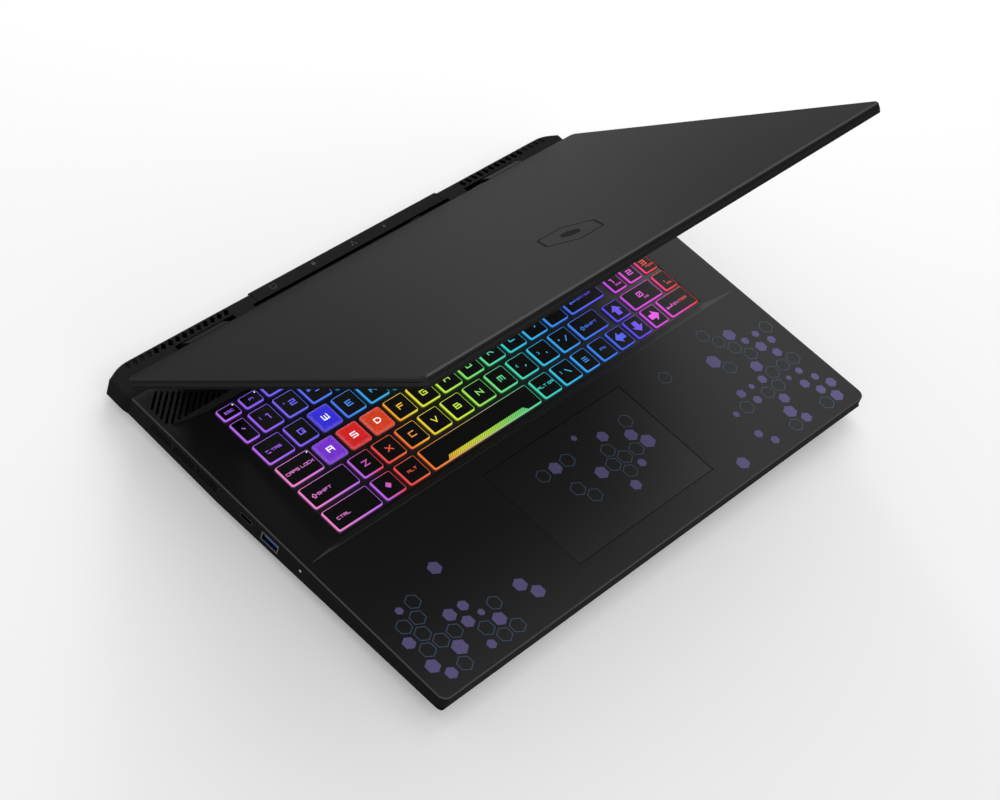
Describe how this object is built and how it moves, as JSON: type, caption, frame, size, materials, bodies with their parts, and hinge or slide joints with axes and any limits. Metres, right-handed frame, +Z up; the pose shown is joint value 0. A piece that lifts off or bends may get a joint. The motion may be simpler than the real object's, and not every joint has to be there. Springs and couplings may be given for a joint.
{
  "type": "laptop computer",
  "caption": "Open notebook computer with a hinged display lid, lit keys that press down, a clicking touchpad, side and rear ports, cooling fans and a slotted rear exhaust.",
  "frame": {"origin": "centre of the footprint on the table, under the rubber feet", "axes": "+X to the user's right, +Y from the front edge to the hinge side, +Z up"},
  "size_m": [0.385, 0.277, 0.2061],
  "materials": {
    "black_case_plastic": "matte black, fine texture",
    "black_aluminium": "matte black anodised",
    "light_lens": "clear white lens",
    "black_steel": "blackened",
    "foot_rubber": "matte",
    "plate_steel": "satin",
    "circuit_board": "solder mask",
    "fan_plastic": "matte",
    "copper_parts": "bare copper colour",
    "fin_aluminium": "bare",
    "battery_wrap": "wrapped cells",
    "port_steel": "bright",
    "port_plastic": "moulded",
    "touchpad_surface": "satin black with printed design",
    "screen_glass": "dark, switched off",
    "key_plastic": "black top, lit skirt",
    "lit_key_plastic": "translucent, lit from below"
  },
  "bodies": {
    "base": {"top_case": "black_case_plastic", "status_light": "light_lens", "rear_vent_bezel": "black_case_plastic", "bottom_cover": "black_case_plastic", "bottom_screws": "black_steel", "rubber_feet": "foot_rubber", "keyboard_plate": "plate_steel", "touchpad_carrier": "plate_steel", "motherboard": "circuit_board", "solid_state_drive": "circuit_board", "memory_module": "circuit_board", "wireless_card": "circuit_board", "left_fan_housing": "fan_plastic", "right_fan_housing": "fan_plastic", "left_fin_stack": "fin_aluminium", "right_fin_stack": "fin_aluminium", "left_speaker": "fan_plastic", "right_speaker": "fan_plastic", "heat_pipes": "copper_parts", "battery_pack": "battery_wrap", "left_usb_c_port": "port_steel", "left_usb_a_port": "port_steel", "right_usb_a_port": "port_steel", "network_port": "port_steel", "video_port": "port_steel", "audio_jack": "port_plastic", "power_inlet": "port_plastic", "left_port_board": "circuit_board", "right_port_board": "circuit_board", "left_hinge_bracket": "black_steel", "right_hinge_bracket": "black_steel"},
    "lid": {"lid_back_cover": "black_aluminium", "display_bezel": "black_case_plastic", "display_panel": "screen_glass", "webcam_module": "circuit_board", "lid_bumpers": "foot_rubber", "left_hinge_cap": "black_case_plastic", "left_hinge_leaf": "black_steel", "right_hinge_cap": "black_case_plastic", "right_hinge_leaf": "black_steel"},
    "touchpad": {"touchpad": "touchpad_surface"},
    "left_fan": {"left_fan_rotor": "fan_plastic"},
    "right_fan": {"right_fan_rotor": "fan_plastic"},
    "key_w": {"key_w": "lit_key_plastic"},
    "key_a": {"key_a": "lit_key_plastic"},
    "key_s": {"key_s": "lit_key_plastic"},
    "key_d": {"key_d": "lit_key_plastic"},
    "key_enter": {"key_enter": "key_plastic"},
    "key_space": {"key_space": "key_plastic"},
    "key_arrow_up": {"key_arrow_up": "key_plastic"},
    "key_arrow_left": {"key_arrow_left": "key_plastic"},
    "key_arrow_down": {"key_arrow_down": "key_plastic"},
    "key_arrow_right": {"key_arrow_right": "key_plastic"},
    "keys_bottom_row": {"keys_bottom_row": "key_plastic"},
    "keys_lower_row": {"keys_lower_row": "key_plastic"},
    "keys_home_row": {"keys_home_row": "key_plastic"},
    "keys_upper_row": {"keys_upper_row": "key_plastic"},
    "keys_number_row": {"keys_number_row": "key_plastic"},
    "keys_function_row": {"keys_function_row": "key_plastic"},
    "keys_numpad": {"keys_numpad": "key_plastic"}
  },
  "joints": [
    {"name": "lid_hinge", "type": "hinge", "parent": "base", "child": "lid", "pos_m": [0, 0.122, 0.0205], "axis": [-1, 0, 0], "range_deg": [-44, 86]},
    {"name": "touchpad_click", "type": "hinge", "parent": "base", "child": "touchpad", "pos_m": [-0.00075, -0.0437, 0.0182], "axis": [1, 0, 0], "range_deg": [0, 0.4], "stiffness_Nm_per_rad": 20},
    {"name": "left_fan_spin", "type": "hinge", "parent": "base", "child": "left_fan", "pos_m": [-0.136, 0.062, 0.008], "axis": [0, 0, 1], "continuous": true},
    {"name": "right_fan_spin", "type": "hinge", "parent": "base", "child": "right_fan", "pos_m": [0.136, 0.062, 0.008], "axis": [0, 0, 1], "continuous": true},
    {"name": "key_w_press", "type": "slide", "parent": "base", "child": "key_w", "axis": [0, 0, -1], "range_m": [0, 0.0015], "stiffness_N_per_m": 300},
    {"name": "key_a_press", "type": "slide", "parent": "base", "child": "key_a", "axis": [0, 0, -1], "range_m": [0, 0.0015], "stiffness_N_per_m": 300},
    {"name": "key_s_press", "type": "slide", "parent": "base", "child": "key_s", "axis": [0, 0, -1], "range_m": [0, 0.0015], "stiffness_N_per_m": 300},
    {"name": "key_d_press", "type": "slide", "parent": "base", "child": "key_d", "axis": [0, 0, -1], "range_m": [0, 0.0015], "stiffness_N_per_m": 300},
    {"name": "key_enter_press", "type": "slide", "parent": "base", "child": "key_enter", "axis": [0, 0, -1], "range_m": [0, 0.0015], "stiffness_N_per_m": 300},
    {"name": "key_space_press", "type": "slide", "parent": "base", "child": "key_space", "axis": [0, 0, -1], "range_m": [0, 0.0015], "stiffness_N_per_m": 300},
    {"name": "key_arrow_up_press", "type": "slide", "parent": "base", "child": "key_arrow_up", "axis": [0, 0, -1], "range_m": [0, 0.0015], "stiffness_N_per_m": 300},
    {"name": "key_arrow_left_press", "type": "slide", "parent": "base", "child": "key_arrow_left", "axis": [0, 0, -1], "range_m": [0, 0.0015], "stiffness_N_per_m": 300},
    {"name": "key_arrow_down_press", "type": "slide", "parent": "base", "child": "key_arrow_down", "axis": [0, 0, -1], "range_m": [0, 0.0015], "stiffness_N_per_m": 300},
    {"name": "key_arrow_right_press", "type": "slide", "parent": "base", "child": "key_arrow_right", "axis": [0, 0, -1], "range_m": [0, 0.0015], "stiffness_N_per_m": 300},
    {"name": "keys_bottom_row_press", "type": "slide", "parent": "base", "child": "keys_bottom_row", "axis": [0, 0, -1], "range_m": [0, 0.0015], "stiffness_N_per_m": 2100},
    {"name": "keys_lower_row_press", "type": "slide", "parent": "base", "child": "keys_lower_row", "axis": [0, 0, -1], "range_m": [0, 0.0015], "stiffness_N_per_m": 3600},
    {"name": "keys_home_row_press", "type": "slide", "parent": "base", "child": "keys_home_row", "axis": [0, 0, -1], "range_m": [0, 0.0015], "stiffness_N_per_m": 2700},
    {"name": "keys_upper_row_press", "type": "slide", "parent": "base", "child": "keys_upper_row", "axis": [0, 0, -1], "range_m": [0, 0.0015], "stiffness_N_per_m": 3900},
    {"name": "keys_number_row_press", "type": "slide", "parent": "base", "child": "keys_number_row", "axis": [0, 0, -1], "range_m": [0, 0.0015], "stiffness_N_per_m": 4200},
    {"name": "keys_function_row_press", "type": "slide", "parent": "base", "child": "keys_function_row", "axis": [0, 0, -1], "range_m": [0, 0.0015], "stiffness_N_per_m": 4800},
    {"name": "keys_numpad_press", "type": "slide", "parent": "base", "child": "keys_numpad", "axis": [0, 0, -1], "range_m": [0, 0.0015], "stiffness_N_per_m": 4500}
  ]
}
